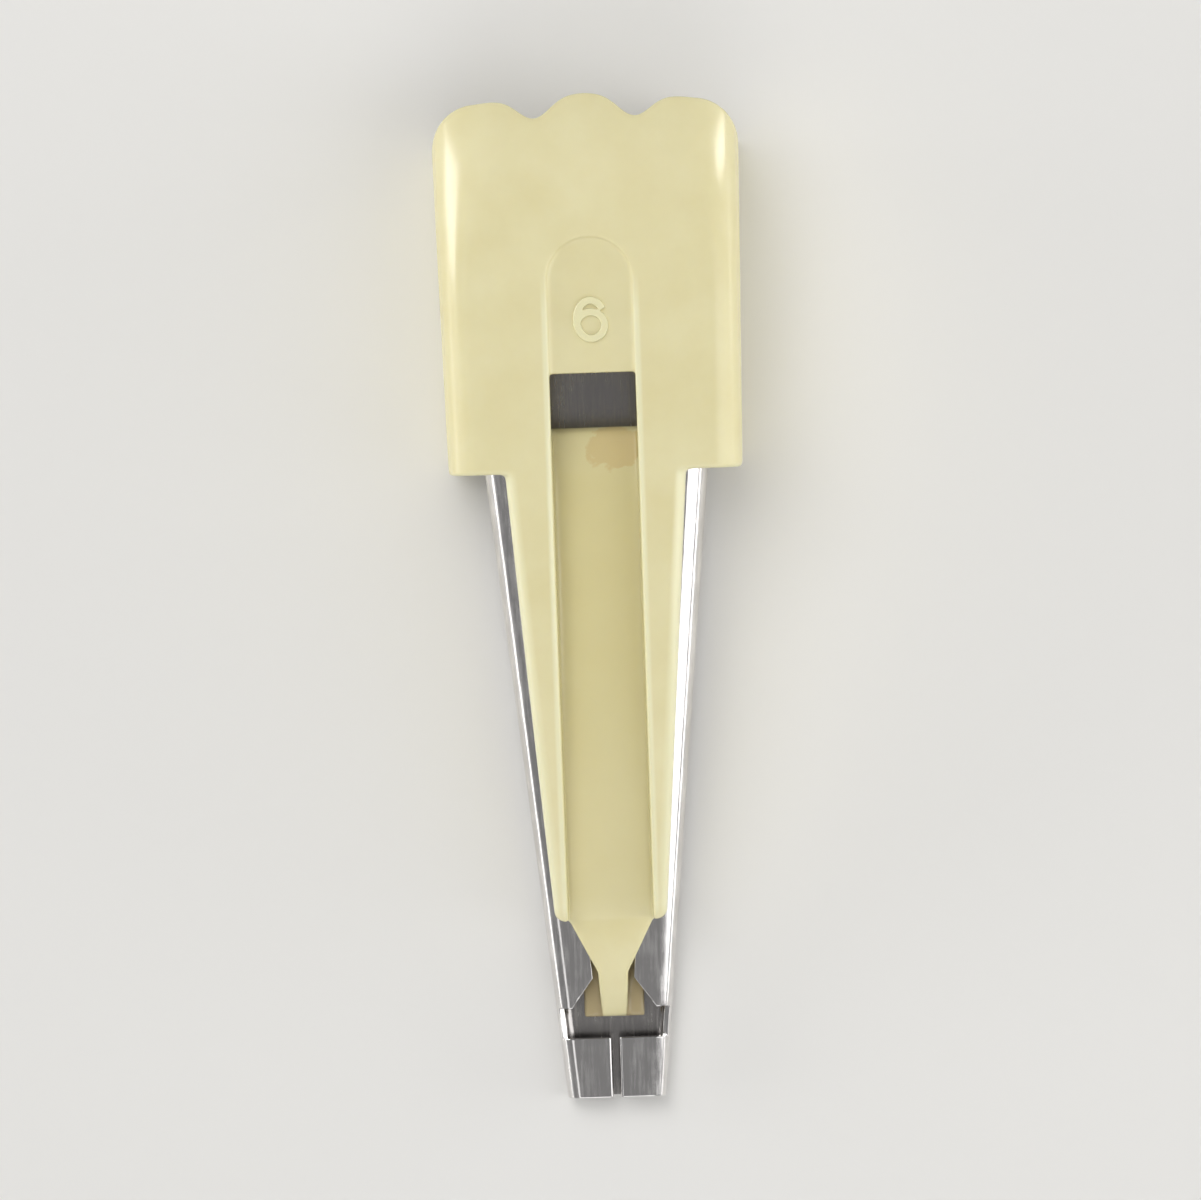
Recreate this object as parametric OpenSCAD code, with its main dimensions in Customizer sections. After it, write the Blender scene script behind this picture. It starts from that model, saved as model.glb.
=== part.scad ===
// Bias tape maker: a folded sheet-metal channel clipped into a moulded handle.
// Lengths are in mm. +Z is up, +Y runs from the tip to the rear, and the origin is on the
// table under the middle of the tool. A station is a distance from the tip mouth.

/* [Overall] */
// Length from the tip mouth to the rear crest
total_len = 63; // [60:0.5:68]

/* [Folding channel] */
// Thickness of the sheet
sheet = 0.4; // [0.3:0.05:0.5]
// Outer width at the tip mouth
tip_w = 6.2; // [5.8:0.1:6.8]
// Outer height at the tip mouth
tip_h = 1.9; // [1.8:0.1:2.3]
// Outer width where the hood begins
channel_w = 14; // [13.2:0.1:14.6]
// Outer width at the rear edge
rear_w = 15.2; // [14.6:0.1:15.6]
// Outer height at the rear edge
rear_h = 3.4; // [3:0.1:3.7]
// Rise of the base from the tip to the hood
lift = 1.8; // [1.4:0.1:2.2]
// Distance from the rear crest in to the rear edge
setback = 3.2; // [2.6:0.1:4]
// Length of the closed tube at the tip
tube_len = 3.8; // [3.2:0.1:4.4]
// Slit between the two flaps of the tube
slit = 0.45; // [0.35:0.05:0.8]
// Length of the open notch behind the tube
notch_len = 1.9; // [1.4:0.1:2.3]
// How far the rolled sides go round in the notch, in degrees
notch_turn = 125; // [100:5:150]
// Length of the slanted front of the wings
wing_len = 1.9; // [1.5:0.1:2.4]
// Gap between the inner corners of the wings
wing_gap = 2.6; // [2.4:0.1:3]
// Gap between the flanges at the rear edge
rear_gap = 9; // [8.4:0.1:9.4]

/* [Hood] */
// Length of the hood
hood_len = 23.4; // [22.4:0.1:25]
// Width at the rear
hood_w = 19; // [18.8:0.1:20.6]
// Width at the front edge
hood_front_w = 18.2; // [18:0.1:18.8]
// Height of the top above the table
hood_h = 10.6; // [10.2:0.1:12]
// Thickness of the skirts and of the front wall
skirt_t = 1.3; // [1:0.1:1.4]
// Thickness of the top
top_t = 1.4; // [1.1:0.1:1.7]
// Radius of the long top edges
edge_r = 1.9; // [1:0.1:2.2]
// Radius of the rear corners
corner_r = 2.8; // [2:0.1:3.4]
// Length of the slope at the rear of the top
slope_len = 6.5; // [5:0.1:8]
// Drop of that slope
slope_drop = 1.5; // [0.8:0.1:1.7]
// How far the crest falls back towards its corners
crest_fall = 1; // [0.4:0.1:1.2]
// Depth of the two dips in the crest
dip_depth = 1.4; // [0.8:0.1:1.6]
// Distance of each dip from the middle
dip_x = 3.1; // [2.6:0.1:3.8]
// Spread of each dip
dip_spread = 1.4; // [1:0.05:1.6]
// Distance from the crest in to the rear ends of the skirts
skirt_back = 2.6; // [1.8:0.1:3.2]
// Radius of the skirts' lower corners
foot_r = 1.2; // [0.5:0.1:1.4]

/* [Neck] */
// Station of the rails' front ends
rail_start = 11.4; // [10.6:0.1:12.6]
// Width over the rails at their front ends
neck_tip_w = 7.1; // [6.8:0.1:7.6]
// Width over the rails at the hood
neck_w = 11.2; // [10.2:0.1:11.6]
// Height of the rails' front ends above the flanges
rail_tip_h = 2.5; // [2.1:0.1:2.9]
// Station where the rise of the rails would meet the level of the hood
rail_knee = 26; // [22:0.5:29]
// Radius of the rails' front corners
rail_r = 0.7; // [0.3:0.1:0.9]
// Width of the web groove
groove_w = 5.3; // [4.6:0.1:5.6]
// Depth of the groove at the rails' front ends
groove_tip_d = 1.6; // [1.2:0.1:1.7]
// Depth of the groove at the hood
groove_d = 3; // [2.4:0.1:3.6]

/* [Web window and pad] */
// Distance from the hood's front edge in to the web window
window_in = 2.6; // [2:0.1:3.4]
// Length of the web window
window_l = 3.5; // [2.8:0.1:4]
// Drop of the groove floor at the window
lip_drop = 0.5; // [0.2:0.1:0.8]
// Length of the number pad
pad_len = 8.4; // [7.4:0.1:9.4]
// Depth of the number pad
pad_d = 0.25; // [0.15:0.05:0.5]

/* [Tongue] */
// Gap between the tube and the tongue's end
tongue_gap = 1.3; // [1:0.1:1.7]
// Width of the tongue's end
tongue_end_w = 1.6; // [1.3:0.1:1.8]
// Thickness of the tongue's end
tongue_t = 0.55; // [0.4:0.05:0.65]
// Clearance at each side between the wings' corners and the tongue
tongue_side = 0.35; // [0.25:0.05:0.45]
// Distance from the wings' corners back to the tongue's waist
waist_back = 0.4; // [0.2:0.1:0.8]
// Width of the shoe below the tongue, round which the cloth's edges are folded
shoe_w = 3.8; // [3.4:0.1:4]
// Thickness of the shoe
shoe_t = 0.4; // [0.3:0.05:0.45]
// Length of the shoe
shoe_len = 6; // [5:0.1:8]

/* [Keel, clips and posts] */
// Room for the cloth between the keel or the shoe and the base
cloth_gap = 0.45; // [0.35:0.05:0.6]
// Distance from the tongue's waist back to the keel
keel_back = 0.8; // [0.6:0.1:1.4]
// Clearance at each side between the keel and the flanges
keel_side = 0.2; // [0.15:0.05:0.4]
// Gap between the flanges and the neck that sits on them
seat = 0.05; // [0.03:0.01:0.1]
// Distance from the hood's front edge to the first pair of clips
clip_first = 4.5; // [4:0.1:5]
// Distance from one pair of clips to the next
clip_pitch = 6; // [5.6:0.1:6.2]
// Length of a clip
clip_len = 2; // [1.4:0.1:2.4]
// Reach of a clip under the rolled side
clip_grip = 0.45; // [0.3:0.05:0.6]
// Reach of a clip over the flange
clip_ledge = 0.4; // [0.2:0.05:0.5]
// Gap between the clips and the channel
clip_fit = 0.12; // [0.1:0.01:0.15]
// Gap between the channel and the hood's front opening
portal_gap = 0.35; // [0.25:0.05:0.5]
// Distance from the hood's front edge to the middle of the posts
post_in = 7.5; // [7.1:0.1:7.9]
// Length of a post
post_len = 2; // [1.6:0.1:2.4]
// Width of a post
post_w = 1; // [0.8:0.1:1.1]
// Gap between a post and its notch in the flange
post_fit = 0.15; // [0.1:0.01:0.2]

/* [Hidden] */
$fn = 64;
CREAM = [0.89, 0.86, 0.69];
PLATE = [0.78, 0.77, 0.76];
clip_count = 3;
// Overlap that joins one solid of the moulding to the next
weld = 0.4;
// Length over which a cut edge of the sheet steps
cut_step = 0.01;
// Points along a curve, round a rolled side and across a flange
curve_n = 18;
roll_n = 8;
flange_n = 2;
side_n = roll_n + flange_n;
// Longest run of the channel between two sections
section_run = 4;
// Depth of the ridge of a clip below the base
ridge_drop = 0.3;
// Height of the tongue's bend over the wings, in thicknesses of its end
bend = 1.6;
// Points on a quarter turn of a rounded corner
arc_n = 8;

hood_s = total_len - hood_len;
channel_s = total_len - setback;
slope_s = total_len - slope_len;
window_s = hood_s + window_in;
pad_s = window_s + window_l;
wing_out_s = tube_len + notch_len;
wing_s = wing_out_s + wing_len;
post_s = hood_s + post_in;
waist_s = wing_s + waist_back;
tongue_s = tube_len + tongue_gap;
ceiling_z = hood_h - top_t;
brim_z = ceiling_z - slope_drop;
slope_deg = atan(lift / hood_s);

// Place along +Y of a station
function along(s) = s - total_len / 2;
function mix(a, b, t) = a + (b - a) * t;
// Outer half width, base height, outer height and flange height of the channel at a station
function half_w(s) = s < hood_s
    ? mix(tip_w, channel_w, s / hood_s) / 2
    : mix(channel_w, rear_w, (s - hood_s) / (channel_s - hood_s)) / 2;
function base_z(s) = lift * s / hood_s;
function rise(s) = mix(tip_h, rear_h, s / channel_s);
function flange_z(s) = base_z(s) + rise(s);
// Half of the gap between the flanges behind the wings' corners
function half_gap(s) = mix(wing_gap, rear_gap, (s - wing_s) / (channel_s - wing_s)) / 2;
// Where the rolled side ends and the flange begins
function roll_x(s) = half_w(s) - rise(s) / 2;

// One side of a section at a station, from the base to the flange's edge: r is the roll's
// radius, turn its end in degrees, and edge the place of the flange's edge
function side(s, r, turn, edge) = turn < 180
    ? [for (i = [0:side_n]) roll_point(s, r, turn * i / side_n)]
    : [for (i = [0:side_n]) i <= roll_n
        ? roll_point(s, r, turn * i / roll_n)
        : [mix(roll_x(s), edge, (i - roll_n) / flange_n), base_z(s) + rise(s) / 2 + r]];
function roll_point(s, r, a) = [roll_x(s) + r * sin(a), base_z(s) + rise(s) / 2 - r * cos(a)];
// The whole section: the outer face from left to right, then the inner face back again
function section(s, turn, edge) = concat(
    both_sides(s, side(s, rise(s) / 2, turn, edge)),
    backwards(both_sides(s, side(s, rise(s) / 2 - sheet, turn, edge))));
function both_sides(s, right) = concat(
    [for (p = backwards(right)) [-p[0], along(s), p[1]]],
    [for (p = right) [p[0], along(s), p[1]]]);
function backwards(list) = [for (i = [len(list) - 1:-1:0]) list[i]];
// Sections of a plain run of flange from one station to another
function flange_run(a, b, extra) = let (n = ceil((b - a) / section_run))
    [for (i = [0:n]) let (s = mix(a, b, i / n)) section(s, 180, half_gap(s) + extra)];

// The stamping: closed tube, open notch, slanted wings, flanges with two post notches
module folding_channel() {
    notch_a = post_s - post_len / 2 - post_fit;
    notch_b = post_s + post_len / 2 + post_fit;
    sections = concat(
        [section(0, 180, slit / 2)],
        [section(tube_len - cut_step, 180, slit / 2)],
        [section(tube_len, notch_turn, 0)],
        [section(wing_out_s - cut_step, notch_turn, 0)],
        [section(wing_out_s, 180, roll_x(wing_out_s) - cut_step)],
        flange_run(wing_s, hood_s, 0),
        flange_run(hood_s + cut_step, notch_a - cut_step, 0),
        flange_run(notch_a, notch_b, post_w + 2 * post_fit),
        flange_run(notch_b + cut_step, channel_s, 0));
    ring = len(sections[0]);
    face_n = ring / 2;
    last = (len(sections) - 1) * ring;
    color(PLATE)
    polyhedron(
        points = [for (one = sections) for (p = one) p],
        faces = concat(
            [for (k = [0:len(sections) - 2]) for (i = [0:ring - 1]) for (f = [0:1])
                let (a = k * ring + i, b = k * ring + (i + 1) % ring)
                f == 0 ? [a, b, b + ring] : [a, b + ring, a + ring]],
            [for (i = [0:face_n - 2]) for (f = [0:1])
                f == 0 ? [i, ring - 1 - i, i + 1] : [i + 1, ring - 1 - i, ring - 2 - i]],
            [for (i = [0:face_n - 2]) for (f = [0:1])
                f == 0 ? [last + i, last + i + 1, last + ring - 1 - i]
                : [last + i + 1, last + ring - 2 - i, last + ring - 1 - i]]));
}

// Half width of the hood at a station
function hood_half(s) = mix(hood_front_w, hood_w, (s - hood_s) / hood_len) / 2;
// Height of the hood's top at a station
function hood_top(s) = s < slope_s ? hood_h : hood_h - slope_drop * pow((s - slope_s) / slope_len, 2);
// Station of the crest at a distance from the middle
function crest(x) = total_len - crest_fall * pow(2 * x / hood_w, 2)
    - dip_depth * exp(-pow((abs(x) - dip_x) / dip_spread, 2));
// Height of a rail at a share t of its run from its front end to the hood
function rail_s(t) = (1 - t) * (1 - t) * rail_start + 2 * t * (1 - t) * rail_knee + t * t * hood_s;
function rail_z(t) = (1 - t) * (1 - t) * (flange_z(rail_start) + rail_tip_h) + (2 - t) * t * hood_h;
function floor_z(t) = rail_z(t) - mix(groove_tip_d, groove_d, t);

// A quarter turn of a rounded corner about a centre, from an angle in degrees on
function arc(u, v, r, a) = [for (i = [0:arc_n])
    let (at = a + 90 * i / arc_n) [u + r * cos(at), v + r * sin(at)]];

// A solid with this outline in the Y-Z plane, w wide and centred on the middle
module across(w, outline) {
    translate([-w / 2, 0, 0])
    rotate([90, 0, 90])
    linear_extrude(height = w)
    polygon(outline);
}

// A solid with this outline in the X-Y plane, from height a to height b
module upright(a, b, outline) {
    translate([0, 0, a])
    linear_extrude(height = b - a)
    polygon(outline);
}

// Hood, solid: plan with the crest, side outline with the slope, rounded long edges
module hood_solid() {
    corner_s = crest(hood_w / 2 - corner_r) - corner_r;
    corner_x = hood_w / 2 - corner_r;
    right = concat(
        [[hood_front_w / 2, along(hood_s)]],
        arc(corner_x, along(corner_s), corner_r, 0));
    left = [for (p = backwards(right)) [-p[0], p[1]]];
    crest_n = 2 * curve_n;
    crest_line = [for (i = [1:crest_n - 1])
        let (x = mix(corner_x, -corner_x, i / crest_n)) [x, along(crest(x))]];
    slope = [for (i = [0:curve_n]) let (s = mix(slope_s, total_len, i / curve_n)) [along(s), hood_top(s)]];
    foot = backwards(arc(along(hood_s) + foot_r, foot_r, foot_r, 180));
    edge = arc(hood_w / 2 - edge_r, hood_h - edge_r, edge_r, 0);
    intersection() {
        upright(0, hood_h, concat(right, crest_line, left));
        across(hood_w, concat([[along(total_len), 0]], foot, [[along(hood_s), hood_h]], slope));
        translate([0, along(total_len), 0])
        rotate([90, 0, 0])
        linear_extrude(height = hood_len)
        polygon(concat(
            [[-hood_w / 2, 0], [hood_w / 2, 0]], edge, [for (p = backwards(edge)) [-p[0], p[1]]]));
    }
}

// Room inside the hood, open below and at the rear, and behind the skirts' ends
module hood_hollow() {
    front = hood_s + skirt_t;
    past = total_len + weld;
    ends = total_len - skirt_back;
    foot = backwards(arc(along(ends) - foot_r, foot_r, foot_r, 270));
    slope = [for (i = [0:curve_n]) let (s = mix(slope_s, past, i / curve_n)) [along(s), hood_top(s) - top_t]];
    intersection() {
        upright(-weld, hood_h, [
            [hood_half(front) - skirt_t, along(front)], [hood_half(past) - skirt_t, along(past)],
            [skirt_t - hood_half(past), along(past)], [skirt_t - hood_half(front), along(front)]]);
        across(hood_w, concat(
            [[along(past), -weld], [along(front), -weld], [along(front), ceiling_z]], slope));
    }
    across(2 * hood_w, concat(
        [[along(past), -weld], [along(past), brim_z], [along(ends), brim_z]], foot,
        [[along(ends) - foot_r, -weld]]));
}

// Opening in the hood's front wall that the channel passes through
module portal() {
    w = 2 * (half_w(hood_s + skirt_t) + portal_gap);
    translate([-w / 2, along(hood_s) - weld, -weld])
    cube([w, skirt_t + 2 * weld, flange_z(hood_s + skirt_t) + seat + weld]);
}

// Neck with the two rails, before the groove is cut
module neck_solid() {
    rear_half = mix(neck_tip_w, neck_w, (window_s - rail_start) / (hood_s - rail_start)) / 2;
    right = arc(neck_tip_w / 2 - rail_r, along(rail_start) + rail_r, rail_r, 270);
    top = [for (i = [0:curve_n]) [along(rail_s(i / curve_n)), rail_z(i / curve_n)]];
    intersection() {
        upright(0, hood_h, concat(
            right, [[rear_half, along(window_s)], [-rear_half, along(window_s)]],
            [for (p = backwards(right)) [-p[0], p[1]]]));
        across(2 * rear_half, concat(
            [[along(window_s), hood_h], [along(window_s), flange_z(window_s) + seat]],
            [[along(rail_start), flange_z(rail_start) + seat]], top));
    }
}

// Keel between the flanges, which holds the cloth down on the base
module keel() {
    front = waist_s + keel_back;
    front_half = half_gap(front) - keel_side;
    rear_half = half_gap(window_s) - keel_side;
    foot = sheet + cloth_gap;
    intersection() {
        upright(0, hood_h, [
            [-front_half, along(front)], [front_half, along(front)],
            [rear_half, along(window_s)], [-rear_half, along(window_s)]]);
        across(2 * rear_half, [
            [along(front), base_z(front) + foot], [along(window_s), base_z(window_s) + foot],
            [along(window_s), flange_z(window_s) + weld], [along(front), flange_z(front) + weld]]);
    }
}

// Shoe at the foot of the keel, below the wings, as far as the tongue's end
module shoe() {
    rear = tongue_s + shoe_len;
    foot = sheet + cloth_gap;
    across(shoe_w, [
        [along(tongue_s), base_z(tongue_s) + foot], [along(rear), base_z(rear) + foot],
        [along(rear), base_z(rear) + foot + shoe_t], [along(tongue_s), base_z(tongue_s) + foot + shoe_t]]);
}

// Tongue from the groove's floor over the wings, then down between them to the shoe
module tongue() {
    root = rail_start + weld;
    root_z = floor_z(0);
    waist_half = wing_gap / 2 - tongue_side;
    end_half = tongue_end_w / 2;
    foot = sheet + cloth_gap;
    end_z = base_z(tongue_s) + foot;
    waist_z = flange_z(waist_s) + seat;
    top = [for (i = [0:curve_n]) let (t = i / curve_n) [
        along((1 - t) * (1 - t) * rail_start + 2 * t * (1 - t) * waist_s + t * t * tongue_s),
        (1 - t) * (1 - t) * root_z + 2 * t * (1 - t) * (waist_z + bend * tongue_t)
            + t * t * (end_z + tongue_t)]];
    intersection() {
        upright(0, hood_h, [
            [-groove_w / 2, along(root)], [-groove_w / 2, along(rail_start)], [-waist_half, along(waist_s)],
            [-end_half, along(tongue_s)], [end_half, along(tongue_s)], [waist_half, along(waist_s)],
            [groove_w / 2, along(rail_start)], [groove_w / 2, along(root)]]);
        across(groove_w, concat([[along(root), root_z]], top, [
            [along(tongue_s), end_z], [along(waist_s), base_z(waist_s) + foot],
            [along(waist_s), waist_z], [along(root), flange_z(root) + seat]]));
    }
}

// Clip on the right skirt: a ledge over the flange and a ridge under the rolled side
module clip(s) {
    r = rise(s) / 2;
    wall = hood_half(s) - skirt_t + weld;
    roll_z = base_z(s) + r;
    difference() {
        translate([0, along(s) - clip_len / 2, 0])
        union() {
            translate([roll_x(s) - clip_ledge, 0, roll_z])
            cube([wall - roll_x(s) + clip_ledge, clip_len, ceiling_z + weld - roll_z]);
            translate([half_w(s) - clip_grip, 0, base_z(s) - ridge_drop])
            cube([wall - half_w(s) + clip_grip, clip_len, r + ridge_drop]);
        }
        translate([roll_x(s), along(s), roll_z])
        rotate([90 + slope_deg, 0, 0])
        cylinder(h = 2 * clip_len, r = r + clip_fit, center = true);
        translate([roll_x(s) - clip_len, along(s), roll_z])
        rotate([slope_deg, 0, 0])
        translate([0, -clip_len, -hood_h])
        cube([clip_len, 2 * clip_len, hood_h + r + clip_fit]);
    }
}

// Post from the hood's top down into its notch in the right flange
module post() {
    foot = flange_z(post_s) - sheet;
    translate([half_gap(post_s) + post_fit, along(post_s) - post_len / 2, foot])
    cube([post_w, post_len, ceiling_z + weld - foot]);
}

// Cutter for the web groove, down to its floor
module groove() {
    lip = floor_z(1) - lip_drop;
    bed = [for (i = [0:curve_n]) [along(rail_s(i / curve_n)), floor_z(i / curve_n)]];
    across(groove_w, concat(
        [[along(rail_start) - weld, hood_h + weld], [along(rail_start) - weld, floor_z(0)]], bed,
        [[along(window_s) + weld, lip], [along(window_s) + weld, hood_h + weld]]));
}

// Cutters for the web window and for the number pad with its round end
module window_and_pad() {
    translate([-groove_w / 2, along(window_s), brim_z])
    cube([groove_w, window_l, hood_h]);
    translate([0, 0, hood_h - pad_d])
    linear_extrude(height = 2 * pad_d)
    union() {
        translate([-groove_w / 2, along(pad_s) - weld])
        square([groove_w, pad_len - groove_w / 2 + weld]);
        translate([0, along(pad_s + pad_len) - groove_w / 2])
        circle(d = groove_w);
    }
}

// The moulding: hood, neck, keel, shoe, tongue, clips and posts, with the groove, window and pad
module handle_body() {
    color(CREAM)
    difference() {
        union() {
            difference() {
                hood_solid();
                hood_hollow();
                portal();
            }
            neck_solid();
            keel();
            shoe();
            tongue();
            for (turned = [0, 1]) {
                mirror([turned, 0, 0])
                post();
                for (i = [0:clip_count - 1]) {
                    mirror([turned, 0, 0])
                    clip(hood_s + clip_first + i * clip_pitch);
                }
            }
        }
        groove();
        window_and_pad();
    }
}

folding_channel();
handle_body();
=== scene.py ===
# %% [markdown]
# # A bias tape maker
# This hand tool folds a strip of cloth into bias tape. Cloth goes in at the wide rear, is folded by
# a tapered sheet-metal channel, and leaves at the narrow tip, where an iron presses it. A moulded
# cream handle sits on the channel and leads a narrow fusible web down a groove onto the cloth.
# The CAD model is loaded first, because it fixes the place and the size of both pieces.

# %% The fixed frame
import math

import bpy
from mathutils import Matrix, Vector


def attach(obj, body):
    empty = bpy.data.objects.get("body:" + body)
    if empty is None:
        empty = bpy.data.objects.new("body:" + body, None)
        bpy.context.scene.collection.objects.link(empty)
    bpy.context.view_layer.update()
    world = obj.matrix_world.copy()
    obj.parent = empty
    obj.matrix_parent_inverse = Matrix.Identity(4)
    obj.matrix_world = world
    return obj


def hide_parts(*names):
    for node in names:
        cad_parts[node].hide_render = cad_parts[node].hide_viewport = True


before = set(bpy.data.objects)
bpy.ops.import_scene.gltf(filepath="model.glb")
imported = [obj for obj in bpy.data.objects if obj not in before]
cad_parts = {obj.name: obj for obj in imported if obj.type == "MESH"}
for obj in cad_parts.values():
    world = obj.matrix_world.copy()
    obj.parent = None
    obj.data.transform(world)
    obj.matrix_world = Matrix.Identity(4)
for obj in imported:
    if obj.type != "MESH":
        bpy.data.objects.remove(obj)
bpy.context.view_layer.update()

# %% [markdown]
# ## The bench
# The tool is only 63 mm long, and many of Blender's tools are happier with sizes near one. So the
# pieces are made on a bench where one unit is one millimetre, and each is shrunk to metres when it
# is done. Places along the tool are stations: distances from the tip mouth towards the rear.

# %% Lengths that both pieces share
TOOL_LENGTH = 63.0
HOOD_START = 39.6
SHEET = 0.4


def along(s):
    """Place on the Y axis of a station."""
    return s - TOOL_LENGTH / 2


def station(y):
    """Station of a place on the Y axis."""
    return y + TOOL_LENGTH / 2


def mix(a, b, t):
    """Value a share t of the way from a to b."""
    return a + (b - a) * t


def ease(t):
    """A share that starts and stops softly."""
    t = min(max(t, 0.0), 1.0)
    return t * t * (3 - 2 * t)


print("The hood takes the last", round(TOOL_LENGTH - HOOD_START, 1), "mm of the tool")

# %% [markdown]
# ## Picking pieces up
# Operators act on whatever is selected, and the CAD nodes are selected after loading. These helpers
# put everything down first, so that an operator touches only the piece in hand.

# %% Hand tools
def put_down():
    """Leave edit mode and let go of everything."""
    if bpy.context.object and bpy.context.object.mode != "OBJECT":
        bpy.ops.object.mode_set(mode="OBJECT")
    bpy.ops.object.select_all(action="DESELECT")


def pick_up(piece):
    """Hold one piece alone."""
    put_down()
    piece.select_set(True)
    bpy.context.view_layer.objects.active = piece


def use_modifier(piece, kind, **settings):
    """Add a modifier to a piece, set it and apply it."""
    pick_up(piece)
    modifier = piece.modifiers.new(kind.title(), kind)
    for key, value in settings.items():
        setattr(modifier, key, value)
    bpy.ops.object.modifier_apply(modifier=modifier.name)
    return piece


def carve(piece, tool, how):
    """Cut, join or keep the common part of two solids, then throw the tool away."""
    use_modifier(piece, "BOOLEAN", operation=how, solver="EXACT", object=tool)
    pick_up(tool)
    bpy.ops.object.delete()
    return piece


def select_where(piece, wanted, kind="VERT"):
    """Hold a piece in edit mode with only the vertices, edges or faces selected that pass a test."""
    pick_up(piece)
    bpy.ops.object.mode_set(mode="EDIT")
    bpy.ops.mesh.select_mode(type=kind)
    bpy.ops.mesh.select_all(action="DESELECT")
    bpy.ops.object.mode_set(mode="OBJECT")
    parts = {"VERT": piece.data.vertices, "EDGE": piece.data.edges, "FACE": piece.data.polygons}
    for part in parts[kind]:
        part.select = wanted(part)
    bpy.ops.object.mode_set(mode="EDIT")


def everywhere(part):
    """The test that every part passes."""
    return True


def size(piece):
    """Rounded size of a piece on the bench, for printing."""
    return [round(v, 2) for v in piece.dimensions]


put_down()
print("Nothing is in hand")

# %% [markdown]
# ## Tracing an outline
# Most of the tool is known from its top view and its side view. A draughtsman would trace each view,
# and so does this helper: one vertex is extruded from point to point, the ring is closed and filled,
# and the face is pulled into a slab. Where two slabs cross, only their common part has both outlines.

# %% Trace a view
VIEWS = {
    "top": lambda u, v, depth: Vector((u, along(v), depth)),
    "side": lambda u, v, depth: Vector((depth, along(u), v)),
    "front": lambda u, v, depth: Vector((u, along(depth), v)),
}


def trace_line(name, spots):
    """A line through these spots, still in edit mode."""
    put_down()
    bpy.ops.mesh.primitive_plane_add(size=1)
    line = bpy.context.object
    line.name = name
    bpy.ops.object.mode_set(mode="EDIT")
    bpy.ops.mesh.select_mode(type="VERT")
    bpy.ops.mesh.select_all(action="SELECT")
    bpy.ops.mesh.merge(type="CENTER")
    bpy.ops.transform.translate(value=spots[0])
    for here, there in zip(spots, spots[1:]):
        bpy.ops.mesh.extrude_vertices_move(TRANSFORM_OT_translate={"value": there - here})
    bpy.ops.mesh.select_all(action="SELECT")
    return line


def trace(name, view, outline, near, far):
    """A slab with this outline in a view, from one depth to another."""
    slab = trace_line(name, [VIEWS[view](u, v, near) for u, v in outline])
    bpy.ops.mesh.edge_face_add()
    bpy.ops.mesh.select_all(action="SELECT")
    pull = VIEWS[view](0, 0, far) - VIEWS[view](0, 0, near)
    bpy.ops.mesh.extrude_region_move(TRANSFORM_OT_translate={"value": pull})
    bpy.ops.mesh.select_all(action="SELECT")
    bpy.ops.mesh.normals_make_consistent(inside=False)
    put_down()
    return slab


print("Views to trace in:", ", ".join(VIEWS))

# %% Two views at once
BELOW = -4
BEYOND = 16
OVER = 14


def two_views(name, top, side):
    """The solid that has one outline from above and another from the side."""
    solid = trace(name, "top", top, BELOW, BEYOND)
    return carve(solid, trace(name + "_side", "side", side, -BEYOND, BEYOND), "INTERSECT")


def quarter(u, v, r, start, steps=8):
    """Points of a quarter turn about a centre, anticlockwise from an angle in degrees."""
    turns = [math.radians(start + 90 * i / steps) for i in range(steps + 1)]
    return [(u + r * math.cos(a), v + r * math.sin(a)) for a in turns]


def both_sides(right):
    """A traced right half, from front to rear, and the same points mirrored back again."""
    return right + [(-x, s) for x, s in reversed(right)]


print("Slabs reach from", BELOW, "to", BEYOND, "mm, past the tool on every side")

# %% [markdown]
# ## The folding channel: the blank
# The real channel is a stamping. A press cuts a flat blank of plated steel to its outline, and then
# its two sides are rolled over until they nearly meet. It is made the same way here. A grid is the
# blank: its rows are stations along the tool, and its columns go from the middle of the base round
# the side to the edge of the flange. The open notch behind the tip and two small notches for the
# handle's posts are cut first, by deleting faces while the blank is still flat.

# %% Rows and columns
TUBE_END = 3.8
WING_START = 5.7
WING_CORNER = 7.6
CHANNEL_END = 59.8
POST_STATION = HOOD_START + 7.5
POST_NOTCH = (POST_STATION - 1.15, POST_STATION + 1.15)
NOTCH_TURN = 125
MID_FLANGE = 0.5


def spread(a, b, parts):
    """Values from a to b in equal parts, without b."""
    return [mix(a, b, i / parts) for i in range(parts)]


rows = spread(0, TUBE_END, 4) + spread(TUBE_END, WING_START, 3)
rows += spread(WING_START, WING_CORNER, 4) + spread(WING_CORNER, HOOD_START, 32)
rows += spread(HOOD_START, POST_NOTCH[0], 6) + spread(*POST_NOTCH, 3)
rows += spread(POST_NOTCH[1], CHANNEL_END, 11) + [CHANNEL_END]
columns = [("base", t) for t in spread(0, 1, 4)]
columns += [("roll", turn) for turn in spread(0, NOTCH_TURN, 14) + spread(NOTCH_TURN, 180, 6)]
columns += [("flange", t) for t in spread(0, 1, 4) + [1]]
across = len(columns) - 1
print("Blank:", len(rows), "rows,", 2 * across + 1, "columns")

# %% Cut the flat blank
notch_column = columns.index(("roll", NOTCH_TURN))
post_column = columns.index(("flange", MID_FLANGE))


def place_on_blank(spot):
    """Row and column of a spot on the flat blank, counted from the tip and from the middle."""
    return (spot.y + 1) / 2 * (len(rows) - 1), abs(spot.x) * across


def cut_away(face):
    """True for the faces of the open notch and of the two post notches."""
    row, column = place_on_blank(face.center)
    s = rows[int(row)]
    open_notch = TUBE_END <= s < WING_START and column > notch_column
    post_notch = POST_NOTCH[0] <= s < POST_NOTCH[1] and column > post_column
    return open_notch or post_notch


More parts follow.
